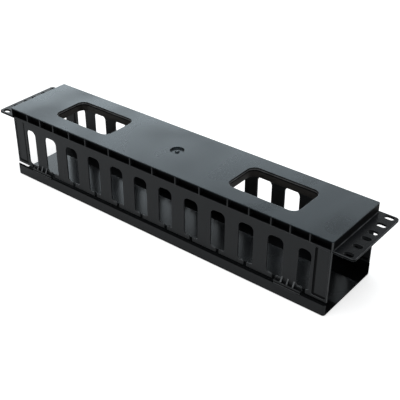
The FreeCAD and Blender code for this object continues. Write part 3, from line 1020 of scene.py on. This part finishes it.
def buildPlastic(name, spec):
    mat, tree = newMaterial(name)
    coords = node(tree, "TexCoord")
    patch = place(tree, "patches", coords, Scale=spec["patchScale"], Flow=spec["flow"])
    # edge is the mask of the painted highlight on rounded edges
    edge = place(tree, "edges", coords, Break_up=spec["edgeBreak"])
    dust = place(tree, "dust", coords, Scale=spec["dustScale"])
    height = place(tree, "grain", coords, Scale=spec["grainScale"], Pits=spec["pits"])

    # colour: patches, then a painted highlight on rounded edges, then dust
    colour = node(tree, "Mix", data_type="RGBA")
    tree.links.new(spread(tree, patch, 0.0, 1.0), colour.inputs["Factor"])
    colour.inputs["A"].default_value = spec["colour"]
    colour.inputs["B"].default_value = spec["paleColour"]
    highlighted = node(tree, "Mix", data_type="RGBA")
    tree.links.new(blend(tree, "MULTIPLY", edge, spec["edgeHighlightShare"]), highlighted.inputs["Factor"])
    tree.links.new(colour.outputs["Result"], highlighted.inputs["A"])
    highlighted.inputs["B"].default_value = spec["edgeHighlightColour"]
    dusty = node(tree, "Mix", data_type="RGBA")
    tree.links.new(blend(tree, "MULTIPLY", dust, spec["dustShare"]), dusty.inputs["Factor"])
    tree.links.new(highlighted.outputs["Result"], dusty.inputs["A"])
    dusty.inputs["B"].default_value = spec["dustColour"]

    # roughness: patches, smoother on the rounded edges with the painted highlight, rougher under dust
    rough = spread(tree, patch, *spec["roughness"])
    rough = blend(tree, "SUBTRACT", rough, blend(tree, "MULTIPLY", edge, spec["edgePolish"]))
    rough = blend(tree, "ADD", rough, blend(tree, "MULTIPLY", dust, spec["dustRoughness"]))

    bump = node(tree, "Bump", Strength=spec["bump"], Distance=spec["bumpDepth"])
    tree.links.new(height, bump.inputs["Height"])
    skin = node(tree, "BsdfPrincipled", IOR=spec["ior"])
    skin.inputs["Specular IOR Level"].default_value = spec["specular"]
    skin.inputs["Specular Tint"].default_value = spec["tint"]
    tree.links.new(dusty.outputs["Result"], skin.inputs["Base Color"])
    tree.links.new(rough, skin.inputs["Roughness"])
    tree.links.new(bump.outputs["Normal"], skin.inputs["Normal"])
    out = node(tree, "OutputMaterial")
    tree.links.new(skin.outputs[0], out.inputs["Surface"])
    return mat


# what all the finishes share: a black plastic whose shine is slightly blue
blackPlastic = {
    "colour": (0.0090, 0.0098, 0.0110, 1), "paleColour": (0.0125, 0.0137, 0.0152, 1),
    "tint": (0.95, 0.98, 1.0, 1), "ior": 1.5, "specular": 0.52,
    "roughness": (0.33, 0.40), "patchScale": 14, "flow": 0.15,
    "grainScale": 2400, "pits": 0.4, "bump": 0.22, "bumpDepth": 0.00008,  # metres
    # the edge colour and its share paint a pale highlight on rounded edges
    "edgeHighlightColour": (0.26, 0.27, 0.28, 1), "edgeBreak": 90, "edgeHighlightShare": 0.2, "edgePolish": 0.06,
    "dustColour": (0.20, 0.20, 0.19, 1), "dustScale": 900, "dustShare": 0.02, "dustRoughness": 0.12,
}
finishes = {
    "plateSatin": {
        "roughness": (0.23, 0.43), "patchScale": 10, "flow": 0.25, "bump": 0.25,
        "specular": 0.36, "tint": (0.60, 0.85, 1.0, 1),
    },
    "wallSatin": {
        "roughness": (0.44, 0.52), "patchScale": 22, "flow": 0.0, "bump": 0.22, "dustShare": 0.01,
    },
    # a darker, barely reflecting copy of the plastic, painted shade for the groove and other shaded faces
    "paintedShade": {
        "roughness": (0.46, 0.54), "patchScale": 22, "flow": 0.0, "bump": 0.2,
        "specular": 0.08, "dustShare": 0.0, "edgeHighlightShare": 0.0,
        "colour": (0.0040, 0.0043, 0.0047, 1), "paleColour": (0.0060, 0.0065, 0.0070, 1),
    },
    # a lighter, warm copy of the plastic, painted light on the windows' inner walls
    "collarPaintedLight": {
        "roughness": (0.40, 0.48), "patchScale": 30, "flow": 0.0, "bump": 0.2,
        "specular": 0.5, "tint": (1.0, 0.95, 0.9, 1),
        "colour": (0.029, 0.0265, 0.024, 1), "paleColour": (0.037, 0.034, 0.031, 1),
    },
    "earSmooth": {
        "roughness": (0.24, 0.30), "patchScale": 30, "flow": 0.0, "bump": 0.08,
        "specular": 0.07, "grainScale": 1500,
    },
    "coverSatin": {
        "roughness": (0.36, 0.44), "patchScale": 18, "flow": 0.0, "bump": 0.18, "specular": 0.42,
    },
    "coverPolished": {
        "roughness": (0.19, 0.25), "patchScale": 12, "flow": 0.0, "bump": 0.04, "grainScale": 1200,
        "specular": 0.24, "tint": (0.82, 0.93, 1.0, 1), "dustShare": 0.01,
    },
    # a darker, barely reflecting copy, painted shade on the lip tops, the foot band and the trough's
    # margins
    "coverPaintedShade": {
        "roughness": (0.46, 0.54), "patchScale": 12, "flow": 0.0, "bump": 0.2,
        "ior": 1.15, "specular": 0.05, "dustShare": 0.0, "edgeHighlightShare": 0.0,
        "colour": (0.0035, 0.0038, 0.0042, 1), "paleColour": (0.0055, 0.0060, 0.0066, 1),
    },
}
plastics = {name: buildPlastic(name, blackPlastic | spec) for name, spec in finishes.items()}
for name in ("plateSatin", "wallSatin", "earSmooth", "paintedShade", "collarPaintedLight"):
    ductBase.data.materials.append(plastics[name])
for name in ("coverSatin", "coverPolished", "coverPaintedShade"):
    ductCover.data.materials.append(plastics[name])
print("stage: plastics", sorted(plastics))
